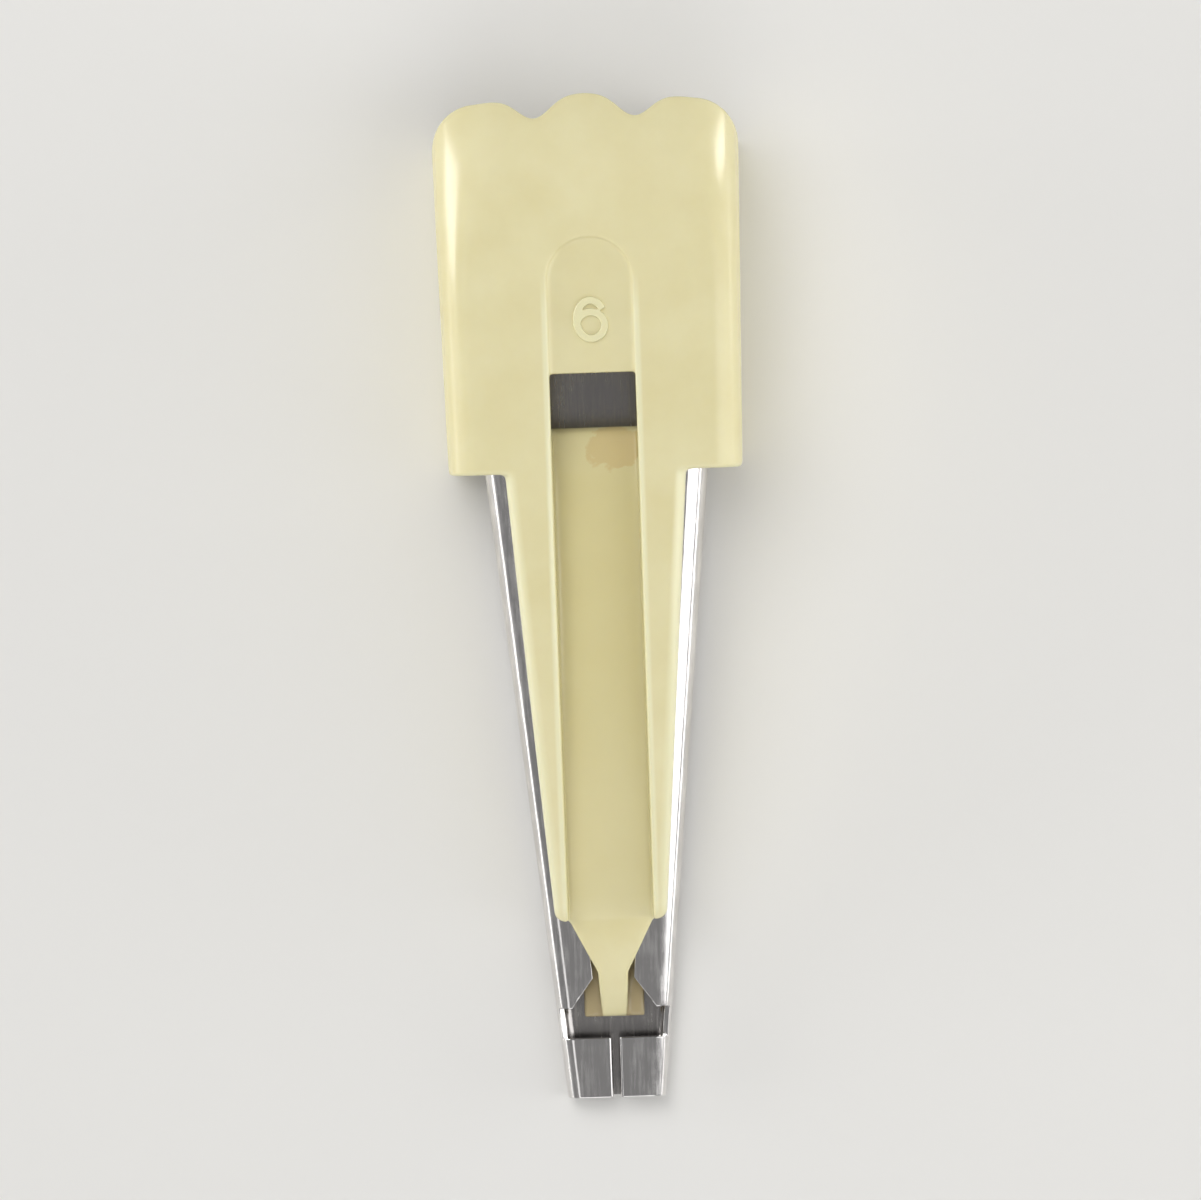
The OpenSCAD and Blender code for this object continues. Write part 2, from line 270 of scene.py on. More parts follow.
put_down()
bpy.ops.mesh.primitive_grid_add(
    x_subdivisions=2 * across, y_subdivisions=len(rows) - 1, size=2)
channel = bpy.context.object
channel.name = "folding_channel_sheet"
select_where(channel, cut_away, "FACE")
bpy.ops.mesh.delete(type="FACE")
put_down()
print("Faces left on the blank:", len(channel.data.polygons))

# %% [markdown]
# ## The folding channel: rolling
# Blender's bend tool needs a window, so each vertex of the blank goes to its place by the section's
# own arithmetic: flat base, half-round side, flange. That also gives the taper and the slanted
# fronts of the two wings. Then the sheet gets its thickness, and both ends are dressed flat.

# %% Section of the channel
TIP_WIDTH = 6.2
GATE_WIDTH = 14.0
REAR_WIDTH = 15.2
CLIMB = 1.8
TIP_RISE = 1.9
REAR_RISE = 3.4


def channel_half(s):
    """Half of the outer width."""
    if s < HOOD_START:
        return mix(TIP_WIDTH, GATE_WIDTH, s / HOOD_START) / 2
    return mix(GATE_WIDTH, REAR_WIDTH, (s - HOOD_START) / (CHANNEL_END - HOOD_START)) / 2


def base_z(s):
    """Height of the base, which climbs from the tip to the hood."""
    return CLIMB * s / HOOD_START


def rise(s):
    """Outer height of the channel."""
    return mix(TIP_RISE, REAR_RISE, s / CHANNEL_END)


def flange_z(s):
    """Height of the flanges."""
    return base_z(s) + rise(s)


def middle_z(s):
    """Half of the channel's height."""
    return base_z(s) + rise(s) / 2


def roll_x(s):
    """Where the rolled side begins, from the middle."""
    return channel_half(s) - rise(s) / 2


print("Channel at the hood:", 2 * channel_half(HOOD_START), "x", round(rise(HOOD_START), 2), "mm")

# %% Edges of the flanges
SLIT = 0.45
WING_GAP = 2.6
REAR_GAP = 9.0


def half_gap(s):
    """Half of the gap between the flanges behind the wings."""
    return mix(WING_GAP, REAR_GAP, (s - WING_CORNER) / (CHANNEL_END - WING_CORNER)) / 2


def flange_edge(s):
    """Where the flange ends: at the slit, along the slant of a wing, or at the gap."""
    if s <= TUBE_END:
        return SLIT / 2
    if s < WING_CORNER:
        slant = (s - WING_START) / (WING_CORNER - WING_START)
        return mix(roll_x(WING_START), half_gap(WING_CORNER), max(slant, 0))
    return half_gap(s)


print("Gap at the rear:", 2 * flange_edge(CHANNEL_END), "mm")

# %% Roll the blank
POST_REACH = 1.3


def rolled(s, zone, t):
    """Place on the right half of the section of a column of the blank."""
    r = rise(s) / 2
    if zone == "base":
        return roll_x(s) * t, base_z(s)
    if zone == "roll":
        turn = math.radians(t)
        return roll_x(s) + r * math.sin(turn), middle_z(s) - r * math.cos(turn)
    edge = flange_edge(s)
    post = edge + min(POST_REACH, (roll_x(s) - edge) / 2)
    if t < MID_FLANGE:
        return mix(roll_x(s), post, t / MID_FLANGE), flange_z(s)
    return mix(post, edge, t / MID_FLANGE - 1), flange_z(s)


for vertex in channel.data.vertices:
    row, column = place_on_blank(vertex.co)
    s = rows[round(row)]
    x, z = rolled(s, *columns[round(column)])
    vertex.co = (math.copysign(x, vertex.co.x), along(s), z)
select_where(channel, everywhere)
bpy.ops.mesh.remove_doubles(threshold=0.001)
put_down()
print("Rolled sheet:", size(channel), "mm")

# %% Thickness and flat ends
END_BAND = 0.1
use_modifier(channel, "SOLIDIFY", thickness=SHEET, offset=1, use_even_offset=True)
for end in (along(0), along(CHANNEL_END)):
    select_where(channel, lambda vertex: abs(vertex.co.y - end) < END_BAND)
    bpy.ops.transform.resize(value=(1, 0, 1), center_override=(0, end, 0))
    put_down()
print("Sheet with its thickness:", size(channel), "mm")

# %% [markdown]
# ## The folding channel: broken edges
# A press leaves no edge quite sharp, and it is the narrow bevel of a cut edge that catches the light.
# The two lips of the slit are rolled in a little more, so they get a wider round of their own first.
# Weighted normals keep the flats flat, so that the bevel's shine doesn't spill over them.

# %% Break the edges
LIP_ROUND = 0.2
EDGE_BREAK = 0.09
NEAR = 0.02
NEAR_TOP = 0.05


def slit_lip(edge):
    """True on the two upper edges of the slit in the tube."""
    ends = [channel.data.vertices[i].co for i in edge.vertices]
    stations = [station(end.y) for end in ends]
    on_lip = all(
        abs(end.x) < SLIT / 2 + NEAR and s < TUBE_END + NEAR and end.z > flange_z(s) - NEAR_TOP
        for end, s in zip(ends, stations))
    return on_lip and abs(stations[0] - stations[1]) > END_BAND


select_where(channel, slit_lip, "EDGE")
print("Edges of the slit:", channel.data.total_edge_sel)
bpy.ops.mesh.bevel(offset=LIP_ROUND, segments=3, affect="EDGES")
put_down()
use_modifier(channel, "BEVEL", width=EDGE_BREAK, segments=2, limit_method="ANGLE",
             angle_limit=math.radians(50))
pick_up(channel)
bpy.ops.object.shade_smooth_by_angle(angle=math.radians(35))
use_modifier(channel, "WEIGHTED_NORMAL", keep_sharp=True, weight=60)
print("Rolled channel:", size(channel), "mm,", len(channel.data.polygons), "faces")

# %% [markdown]
# ## The handle: the hood
# The hood is the part that the fingers hold. Its top is like a small pillow: flat in the middle,
# rounded over along both sides, and rounder still towards the rear, where it slopes down to a crest
# with two dips. A plain bevel can't grow along its edge, so the top is a fine grid whose vertices
# are lowered by that growing round, then pulled down to the table. The traced top view with the
# crest and the side view with its rounded feet trim it.

# %% Height of the hood's top
HOOD_TOP = 10.6
HOOD_FRONT = 18.2
HOOD_REAR = 19.0
SLOPE_START = 56.5
SLOPE_FALL = 1.5
ROUND_START = 51
CROWN = 0.1


def hood_half(s):
    """Half of the hood's width."""
    return mix(HOOD_FRONT, HOOD_REAR, (s - HOOD_START) / (TOOL_LENGTH - HOOD_START)) / 2


def slope_z(s):
    """Height of the hood's middle line, which falls towards the crest."""
    return HOOD_TOP - SLOPE_FALL * (max(s - SLOPE_START, 0) / (TOOL_LENGTH - SLOPE_START)) ** 2


def pillow_z(x, s):
    """Height of the hood's top anywhere."""
    grown = ease((s - ROUND_START) / (TOOL_LENGTH - ROUND_START))
    reach = mix(1.8, 5.0, grown)
    fall = mix(1.8, 2.4, grown)
    out = min(max((abs(x) - hood_half(s) + reach) / reach, 0), 1)
    crown = CROWN * (x / (HOOD_REAR / 2)) ** 2
    return slope_z(s) - crown - fall * (1 - math.sqrt(1 - out * out))


print("The crest's middle is", round(slope_z(TOOL_LENGTH), 2), "mm high")

# %% Pillow
PILLOW_HALF = 9.8


def pillow(name, drop, foot):
    """The solid below the hood's top, or below a copy of it that is lowered by a drop."""
    put_down()
    bpy.ops.mesh.primitive_grid_add(x_subdivisions=110, y_subdivisions=100, size=2)
    solid = bpy.context.object
    solid.name = name
    for vertex in solid.data.vertices:
        x = vertex.co.x * PILLOW_HALF
        s = mix(HOOD_START - 1, TOOL_LENGTH + 0.6, (vertex.co.y + 1) / 2)
        vertex.co = (x, along(s), pillow_z(x, s) - drop)
    bpy.ops.object.mode_set(mode="EDIT")
    bpy.ops.mesh.select_all(action="SELECT")
    bpy.ops.mesh.extrude_region_move(TRANSFORM_OT_translate={"value": (0, 0, -BEYOND)})
    bpy.ops.transform.resize(value=(1, 1, 0), center_override=(0, 0, foot))
    bpy.ops.mesh.select_all(action="SELECT")
    bpy.ops.mesh.normals_make_consistent(inside=False)
    put_down()
    return solid


handle = pillow("handle_moulding", 0, 0)
print("Pillow:", size(handle), "mm")

# %% Crest and feet
CORNER = 2.8
FOOT = 1.2
DIP_DEPTH = 1.4
DIP_PLACE = 3.1
DIP_WIDTH = 1.4


def crest(x):
    """Station of the rear edge, with its two dips."""
    dip = DIP_DEPTH * math.exp(-((abs(x) - DIP_PLACE) / DIP_WIDTH) ** 2)
    return TOOL_LENGTH - (x / (HOOD_REAR / 2)) ** 2 - dip


corner_x = HOOD_REAR / 2 - CORNER
plan = [(HOOD_FRONT / 2, HOOD_START)] + quarter(corner_x, crest(corner_x) - CORNER, CORNER, 0)
plan += [(x, crest(x)) for x in spread(corner_x, 0, 30)[1:] + [0]]
hood = two_views(
    "hood",
    plan + [(-x, s) for x, s in reversed(plan[:-1])],
    [(TOOL_LENGTH + 2, 0)] + quarter(HOOD_START + FOOT, FOOT, FOOT, 180)[::-1]
    + [(HOOD_START, OVER), (TOOL_LENGTH + 2, OVER)])
carve(handle, hood, "INTERSECT")
print("Hood:", size(handle), "mm")

# %% [markdown]
# ## The handle: the room inside the hood
# A moulding has walls of an even thickness, or it would sink as it cools. So the hood is hollow:
# open below and at the rear, where the cloth goes in, with side walls that end short of the crest
# and a front wall that lets the channel pass. Behind the side walls only the crest is left. Its
# underside is a lowered copy of the pillow, so that it follows the rounded corners. A Boolean
# stumbles over faces in one plane, so where two solids would share a plane, one keeps off by a hair.

# %% Hollow
WALL = 1.3
TOP_WALL = 1.4
inner_front = HOOD_START + WALL
inner_rear = TOOL_LENGTH + 1
hollow = two_views(
    "hollow",
    both_sides([(hood_half(s) - WALL, s) for s in (inner_front, inner_rear)]),
    [(inner_rear, -1), (inner_front, -1), (inner_front, slope_z(inner_front) - TOP_WALL)]
    + [(s, slope_z(s) - TOP_WALL) for s in [SLOPE_START + i * 0.5 for i in range(14)]]
    + [(inner_rear, slope_z(inner_rear) - TOP_WALL)])
carve(handle, hollow, "DIFFERENCE")
print("Hollow hood:", len(handle.data.polygons), "faces")

# %% Behind the side walls
HAIR = 0.03
WALL_END = TOOL_LENGTH - 2.6
CREST_WALL = 0.56
behind = trace(
    "behind", "side",
    [(inner_rear, -1)]
    + [(s, slope_z(s) - TOP_WALL - HAIR) for s in spread(inner_rear, WALL_END, 8) + [WALL_END]]
    + quarter(WALL_END - FOOT, FOOT, FOOT, 270)[::-1] + [(WALL_END - FOOT, -1)], -OVER, OVER)
carve(behind, pillow("under_crest", CREST_WALL, -2), "INTERSECT")
carve(handle, behind, "DIFFERENCE")
print("The crest is", CREST_WALL, "mm thick and reaches", round(TOOL_LENGTH - WALL_END, 1), "mm out")

# %% Front opening
SEAT = 0.05
opening_half = channel_half(inner_front) + 0.35
opening_top = flange_z(inner_front) + 2 * SEAT
opening = trace(
    "opening", "front",
    [(-opening_half, -1), (opening_half, -1),
     (opening_half, opening_top), (-opening_half, opening_top)],
    HOOD_START - 1, inner_front + 0.2)
carve(handle, opening, "DIFFERENCE")
print("Opening:", round(2 * opening_half, 2), "mm wide,", round(opening_top, 2), "mm high")

# %% [markdown]
# ## The handle: rails, groove and tongue
# From the hood a narrowing neck runs down the channel. Its two rails guide the web in the groove
# between them, and the groove's floor runs out into a tongue that dives between the wings and
# presses the web onto the cloth. It ends on a flat shoe below the wings, and the cloth's edges are
# folded round that. Each is a solid with two simple outlines, so each is traced twice.

# %% Curve of the rails
RAIL_START = 11.4
RAIL_PULL = 26
RAIL_RISE = 2.5
NECK_FRONT = 7.1
NECK_REAR = 11.2


def curve(a, b, c, t):
    """Value a share t of the way along a curve from a to c that b pulls at."""
    return (1 - t) ** 2 * a + 2 * t * (1 - t) * b + t * t * c


def rail_s(t):
    """Station a share t of the way along the rails."""
    return curve(RAIL_START, RAIL_PULL, HOOD_START, t)


def rail_z(t):
    """Height of the rails' tops there."""
    return (1 - t) ** 2 * (flange_z(RAIL_START) + RAIL_RISE) + (2 - t) * t * HOOD_TOP


def floor_z(t):
    """Height of the groove's floor there."""
    return rail_z(t) - mix(1.6, 3.0, t)


def neck_edge(s):
    """Half of the width over the rails."""
    return mix(NECK_FRONT, NECK_REAR, (s - RAIL_START) / (HOOD_START - RAIL_START)) / 2


steps = [i / 24 for i in range(25)]
print("Rails climb from", round(rail_z(0), 2), "to", round(rail_z(1), 2), "mm")

# %% Neck
WINDOW = HOOD_START + 2.6
RAIL_ROUND = 0.7
neck_rear = WINDOW + 0.1
neck_front = RAIL_START - 1
neck = two_views(
    "neck",
    both_sides(
        quarter(NECK_FRONT / 2 - RAIL_ROUND, RAIL_START + RAIL_ROUND, RAIL_ROUND, 270)
        + [(neck_edge(neck_rear), neck_rear)]),
    [(neck_rear, HOOD_TOP - 0.5), (neck_rear, flange_z(neck_rear) + SEAT),
     (neck_front, flange_z(neck_front) + SEAT), (neck_front, rail_z(0) - 0.35)]
    + [(rail_s(t), rail_z(t) - HAIR) for t in steps] + [(HOOD_START + 0.4, HOOD_TOP - 2 * HAIR)])
print("Neck:", size(neck), "mm")

# %% Rounds of the rails
EDGE_ROUND = 0.65


def on_rail_side(x, s):
    """True on the neck's long sides and on the rounds at their front."""
    if s > RAIL_START + RAIL_ROUND:
        return abs(x) > neck_edge(s) - 0.08
    out = abs(x) - (neck_edge(RAIL_START) - RAIL_ROUND)
    return out > 0.05 and math.hypot(out, s - RAIL_START - RAIL_ROUND) > RAIL_ROUND - NEAR


def outer_top(edge):
    """True on the rails' outer top edges."""
    ends = [neck.data.vertices[i].co for i in edge.vertices]
    stations = [station(end.y) for end in ends]
    on_side = all(on_rail_side(end.x, s) for end, s in zip(ends, stations))
    on_top = all(end.z > flange_z(s) + 1.5 for end, s in zip(ends, stations))
    return on_side and on_top and ends[0].x * ends[1].x > 0 and max(stations) < neck_rear - 0.01


select_where(neck, outer_top, "EDGE")
bpy.ops.mesh.bevel(offset=EDGE_ROUND, segments=5, affect="EDGES")
print("Edges of the rails' rounds:", sum(edge.select for edge in neck.data.edges))
put_down()
carve(handle, neck, "UNION")
print("Neck joined:", size(handle), "mm")

# %% Keel and shoe below
TONGUE_END = 5.1
WAIST = 8.0
KEEL_START = WAIST + 0.8
FOOT_GAP = SHEET + 0.45
SHOE = 0.4
SHOE_HALF = 1.9


def foot_z(s):
    """Height of the underside of the keel and the shoe, which leaves room for the cloth."""
    return base_z(s) + FOOT_GAP


keel = two_views(
    "keel",
    both_sides([(half_gap(s) - 0.2, s) for s in (KEEL_START - 1, WINDOW + 1)]),
    [(KEEL_START, foot_z(KEEL_START) + HAIR), (WINDOW, foot_z(WINDOW) + HAIR),
     (WINDOW, flange_z(WINDOW) + 0.4), (KEEL_START, flange_z(KEEL_START) + 0.4)])
carve(handle, keel, "UNION")
shoe_ends = [(s, foot_z(s)) for s in (TONGUE_END, TONGUE_END + 6)]
shoe_top = [(s, z + SHOE) for s, z in reversed(shoe_ends)]
carve(handle, trace("shoe", "side", shoe_ends + shoe_top, -SHOE_HALF, SHOE_HALF), "UNION")
print("Keel and shoe joined:", size(handle), "mm")

# %% Tongue in front
GROOVE = 5.3
TONGUE_THICK = 0.55
TONGUE_ROOT = RAIL_START + 0.4
end_z = foot_z(TONGUE_END)
end_top = end_z + TONGUE_THICK
waist_z = flange_z(WAIST) + SEAT
tongue_end = TONGUE_END + HAIR
tongue = two_views(
    "tongue",
    both_sides([(0.75, TONGUE_END - 1), (0.95, WAIST),
                (GROOVE / 2, RAIL_START), (GROOVE / 2, TONGUE_ROOT + 1)]),
    [(TONGUE_ROOT, floor_z(0))]
    + [(curve(RAIL_START, WAIST, TONGUE_END, t), curve(floor_z(0), waist_z + 0.88, end_top, t))
       for t in steps[:-1]]
    + [(tongue_end, end_top), (tongue_end, end_z + HAIR), (WAIST, foot_z(WAIST) + HAIR),
       (WAIST, waist_z), (TONGUE_ROOT, flange_z(TONGUE_ROOT) + SEAT + HAIR)])
carve(handle, tongue, "UNION")
print("Tongue joined:", size(handle), "mm")

# %% Groove
LIP = 0.5
lip_z = floor_z(1) - 0.35
groove_front = RAIL_START - 0.5
groove_rear = WINDOW + 0.4
groove = trace(
    "groove", "side",
    [(groove_front, OVER), (groove_front, floor_z(0))]
    + [(rail_s(t), floor_z(t)) for t in steps] + quarter(WINDOW - LIP, lip_z - LIP, LIP, 0)[::-1]
    + [(groove_rear, lip_z - LIP), (groove_rear, OVER)],
    -GROOVE / 2, GROOVE / 2)
carve(handle, groove, "DIFFERENCE")
print("Groove cut:", GROOVE, "mm wide,", len(handle.data.polygons), "faces")

# %% Web window and number pad
PAD_START = WINDOW + 3.5
PAD_END = PAD_START + 8.4
PAD_Z = HOOD_TOP - 0.25
window = trace(
    "window", "top", both_sides([(GROOVE / 2, WINDOW), (GROOVE / 2, PAD_START)]),
    HOOD_TOP - TOP_WALL - 1.5, OVER)
carve(handle, window, "DIFFERENCE")
pad_turn = (0, PAD_END - GROOVE / 2, GROOVE / 2)
pad = trace(
    "pad", "top",
    [(-GROOVE / 2, PAD_START - 0.5), (GROOVE / 2, PAD_START - 0.5)]
    + quarter(*pad_turn, 0, 14) + quarter(*pad_turn, 90, 14)[1:], PAD_Z, OVER)
carve(handle, pad, "DIFFERENCE")
print("Window and pad cut:", len(handle.data.polygons), "faces")

# %% [markdown]
# ## The handle: clips and posts
# Nothing shows how the handle holds the channel, so it is taken to snap on: three pairs of clips on
# the side walls reach round the rolled sides, and a pair of posts sits in the notches and stops it
# sliding. One clip is traced from the front and mirrored, and the next pair follows the taper.

# %% Clips
CLIP_START = HOOD_START + 4.5
CLIP_STEP = 6
CLIP_ROOM = 0.12
CLIP_GRIP = 0.45
OVERLAP = 0.4
ceiling = HOOD_TOP - TOP_WALL + OVERLAP


def clip_pair(s):
    """Two clips round the rolled sides at a station."""
    r = rise(s) / 2
    wall = hood_half(s) - WALL + OVERLAP
    ledge = roll_x(s) - 0.4
    reach = r + CLIP_ROOM
    foot = base_z(s) - 0.3
    grip = math.acos((r - CLIP_GRIP) / reach)
    arc = [math.pi / 2 - (math.pi / 2 + grip) * i / 12 for i in range(13)]
    clip = trace(
        "clip", "front",
        [(wall, ceiling), (ledge, ceiling), (ledge, middle_z(s) + reach)]
        + [(roll_x(s) + reach * math.cos(a), middle_z(s) + reach * math.sin(a)) for a in arc]
        + [(channel_half(s) - CLIP_GRIP, foot), (wall, foot)],
        s - 1, s + 1)
    return use_modifier(clip, "MIRROR", use_axis=(True, False, False), use_mirror_merge=False)


for pair in range(3):
    carve(handle, clip_pair(CLIP_START + CLIP_STEP * pair), "UNION")
print("Clips joined:", len(handle.data.polygons), "faces")

# %% Posts
post_x = half_gap(POST_STATION) + 0.15
post_front = POST_STATION - 1
post_rear = POST_STATION + 1
post = trace(
    "post", "top",
    [(post_x, post_front), (post_x + 1, post_front), (post_x + 1, post_rear), (post_x, post_rear)],
    flange_z(POST_STATION) - SHEET, ceiling)
use_modifier(post, "MIRROR", use_axis=(True, False, False), use_mirror_merge=False)
carve(handle, post, "UNION")
print("Moulding in one:", size(handle), "mm")

# %% [markdown]
# ## The handle: soft edges
# No edge of a moulding is sharp: the mould is polished and the plastic shrinks a little. Bevels on
# so many crossing cuts would tangle, so the whole body is skinned again with small voxels, and the
# skin is relaxed until each edge has a round of a fifth of a millimetre. The number pad looks crisper
# and is relaxed less, and the rails look rounder and are relaxed more. So fine a skin has far more
# faces than the flat places need, so at the end it is thinned by joining faces that bend least.

# %% New skin
use_modifier(handle, "REMESH", mode="VOXEL", voxel_size=0.11, use_smooth_shade=True)
print("Skin:", len(handle.data.polygons), "faces")

# %% Relax it
PAD_MARGIN = 0.5


def away_from_pad(vertex):
    """True except round the number pad."""
    x, y, z = vertex.co
    beside = abs(x) < GROOVE / 2 + PAD_MARGIN
    return not (beside and along(WINDOW + 1) < y < along(PAD_END + PAD_MARGIN) and z > PAD_Z - 1)


def on_rails(vertex):
    """True along the rails, between their front rounds and the window."""
    return along(RAIL_START + 0.6) < vertex.co.y < along(WINDOW - 0.3)


for wanted, times in [(everywhere, 2), (away_from_pad, 4), (on_rails, 8)]:
    select_where(handle, wanted)
    bpy.ops.mesh.vertices_smooth(factor=0.5, repeat=times)
    put_down()
print("Relaxed skin:", size(handle), "mm")

# %% Fewer faces
use_modifier(handle, "DECIMATE", ratio=0.32)
pick_up(handle)
bpy.ops.object.shade_smooth()
print("Thinned skin:", sum(len(face.vertices) - 2 for face in handle.data.polygons), "triangles")

# %% [markdown]
# ## The size number
# The pad carries a raised 6, the width of the tape in millimetres, which is a plain size mark. Its
# line is bold and round, as a ball cutter leaves it in the mould, and the font at hand is thinner.
# So the cutter's path is traced: over the top, down the left side and round the bowl. The line is
# made a curve, a bevel gives it its thickness, and it is made a mesh again and pressed flat on top.
# The tube crosses itself where the bowl closes, so it gets one new skin of fine voxels.

# %% Path of the cutter
NUMBER_STATION = 49.0
NUMBER_HALF = 0.86


def oval(centre, height, start, stop, parts):
    """Points on an oval about a station on the number's middle line, between two angles."""
    turns = [math.radians(mix(start, stop, i / parts)) for i in range(parts + 1)]
    return [Vector((NUMBER_HALF * math.cos(a), along(centre) + height * math.sin(a), PAD_Z))
            for a in turns]


stem = oval(NUMBER_STATION, 1.18, 32, 270, 26)
bowl = oval(NUMBER_STATION - 0.36, 0.82, 270, 540, 30)
number = trace_line("size_number", stem + bowl[1:])
put_down()
print("Path of the cutter:", len(number.data.vertices), "points")

# %% Raised 6
CUTTER = 0.24
NUMBER_RISE = 0.2
pick_up(number)
bpy.ops.object.convert(target="CURVE")
number.data.bevel_depth = CUTTER
number.data.bevel_resolution = 4
number.data.use_fill_caps = True
bpy.ops.object.convert(target="MESH")
select_where(number, lambda vertex: vertex.co.z > PAD_Z + NUMBER_RISE / 2)
bpy.ops.transform.resize(value=(1, 1, 0), center_override=(0, 0, PAD_Z + NUMBER_RISE))
put_down()
use_modifier(number, "REMESH", mode="VOXEL", voxel_size=0.035, use_smooth_shade=True)
select_where(number, everywhere)
bpy.ops.mesh.vertices_smooth(factor=0.5, repeat=3)
put_down()
print("Number:", size(number), "mm")

# %% [markdown]
# ## From the bench to the frame
# The pieces leave the bench: each is shrunk from millimetres to metres, its scale is applied, so
# that its place is in its mesh, and it takes the place of its CAD node.

# %% Place the pieces
for piece, node, slot in [
        (channel, "folding_channel", "plated_steel"),
        (handle, "handle_body", "cream_plastic"),
        (number, "handle_body", "cream_plastic")]:
    pick_up(piece)
    bpy.ops.transform.resize(value=(0.001, 0.001, 0.001), center_override=(0, 0, 0))
    bpy.ops.object.transform_apply(location=True, rotation=True, scale=True)
    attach(piece, "root")
    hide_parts(node)
    print(piece.name, "stands for", node, [round(v * 1000, 2) for v in piece.dimensions], "mm")

# %% [markdown]
# ## Cream plastic
# The moulding is a pale yellow plastic with a soft gloss. It isn't one even colour: the melt leaves
# faint clouds, and its skin has a fine grain that breaks up the gloss. Both are noise on Object
# coordinates. The clouds choose between two creams, and the grain sets roughness and bump.

# %% Helpers for finishes
def new_finish(name):
    """A material with its shader, and helpers to add and join nodes."""
    material = bpy.data.materials.new(name)
    material.use_nodes = True
    tree = material.node_tree
    shader = tree.nodes["Principled BSDF"]

    def add(kind, operation=None, **inputs):
        node = tree.nodes.new(kind)
        if operation:
            node.operation = operation
        for key, value in inputs.items():
            node.inputs[key.replace("_", " ")].default_value = value
        return node

    def join(source, target):
        tree.links.new(source, target)

    return material, shader, add, join


def two_tones(add, low, high):
    """A ramp between two colours."""
    ramp = add("ShaderNodeValToRGB")
    for stop, position, colour in zip(ramp.color_ramp.elements, (0.3, 0.7), (low, high)):
        stop.position = position
        stop.color = (*colour, 1)
    return ramp


cream, shader, add, join = new_finish("cream_plastic")
print("New finish:", cream.name)

# %% Clouds and grain
DARK_CREAM = (0.735, 0.665, 0.375)
LIGHT_CREAM = (0.775, 0.715, 0.43)
place = add("ShaderNodeTexCoord").outputs["Object"]
clouds = add("ShaderNodeTexNoise", Scale=260.0, Detail=4.0, Roughness=0.55)
join(place, clouds.inputs["Vector"])
tone = two_tones(add, DARK_CREAM, LIGHT_CREAM)
join(clouds.outputs["Fac"], tone.inputs["Fac"])
grain = add("ShaderNodeTexNoise", Scale=5200.0, Detail=2.0)
join(place, grain.inputs["Vector"])
gloss = add("ShaderNodeMapRange", To_Min=0.16, To_Max=0.28)
join(grain.outputs["Fac"], gloss.inputs["Value"])
join(gloss.outputs["Result"], shader.inputs["Roughness"])
bump = add("ShaderNodeBump", Strength=0.04, Distance=0.00002)
join(grain.outputs["Fac"], bump.inputs["Height"])
join(bump.outputs["Normal"], shader.inputs["Normal"])
shader.inputs["Subsurface Weight"].default_value = 0.12
shader.inputs["Subsurface Radius"].default_value = (1.0, 0.8, 0.4)
shader.inputs["Subsurface Scale"].default_value = 0.0008
print("Plastic with clouds and grain:", len(cream.node_tree.nodes), "nodes")

# %% [markdown]
# ## Cream plastic: painted shade and highlights
# Some light and shade is painted into the cream. The floor of the groove is painted darker and
# yellower, as painted shade between the rails. Just in front of the window a tan patch with a ragged
# edge is painted shadow. The shoe below the wings is painted brown, as painted shade. The top of the
# raised number and the edges of the rails are painted paler, as painted highlights. A painter would
# mask each place and tint it, and so do these cells: a mask is one inside its limits and fades out
# past them. Its limits are in millimetres, as on the bench.

# %% Masks
bench = add("ShaderNodeVectorMath", "SCALE", Scale=1000.0)
join(place, bench.inputs[0])
apart = add("ShaderNodeSeparateXYZ")
join(bench.outputs["Vector"], apart.inputs["Vector"])
beside = add("ShaderNodeMath", "ABSOLUTE")
join(apart.outputs["X"], beside.inputs[0])
facing = add("ShaderNodeSeparateXYZ")
join(add("ShaderNodeTexCoord").outputs["Normal"], facing.inputs["Vector"])
measured = {
    "beside": beside.outputs["Value"],
    "along": apart.outputs["Y"],
    "height": apart.outputs["Z"],
    "facing up": facing.outputs["Z"],
}


def within(limits):
    """A share that is one inside all limits and fades to nothing outside them."""
    shares = []
    for what, outside, inside in limits:
        share = add("ShaderNodeMapRange", From_Min=outside, From_Max=inside)
        join(measured[what], share.inputs["Value"])
        shares.append(share.outputs["Result"])
    while len(shares) > 1:
        product = add("ShaderNodeMath", "MULTIPLY")
        join(shares.pop(), product.inputs[0])
        join(shares.pop(), product.inputs[1])
        shares.append(product.outputs["Value"])
    return shares[0]


# Lays painted shade or a painted highlight over the cream
def paint_light_over(share, under, colour):
    """A colour over the one under it, by a share."""
    layers = add("ShaderNodeMix")
    layers.data_type = "RGBA"
    join(share, layers.inputs["Factor"])
    join(under, layers.inputs["A"])
    layers.inputs["B"].default_value = (*colour, 1)
    return layers.outputs["Result"]


print("A mask can limit:", ", ".join(measured))

# %% Painted shade on the groove's floor
RIM = GROOVE / 2
FLOOR_TOP = floor_z(1)
GROOVE_SHADE_LIMITS = [
    ("beside", RIM - 0.01, RIM - 0.11),
    ("along", along(11.2), along(13.0)),
    ("height", FLOOR_TOP + 0.3, FLOOR_TOP + 0.1)]
groove_shade = add("ShaderNodeMapRange", To_Max=0.6)
join(within(GROOVE_SHADE_LIMITS), groove_shade.inputs["Value"])
# Painted shade: the groove's floor is painted darker and yellower between the rails
tinted = paint_light_over(groove_shade.outputs["Result"], tone.outputs["Color"], (0.692, 0.621, 0.32))
print("The floor's tint ends", round(GROOVE_SHADE_LIMITS[0][1], 2), "mm from the middle")
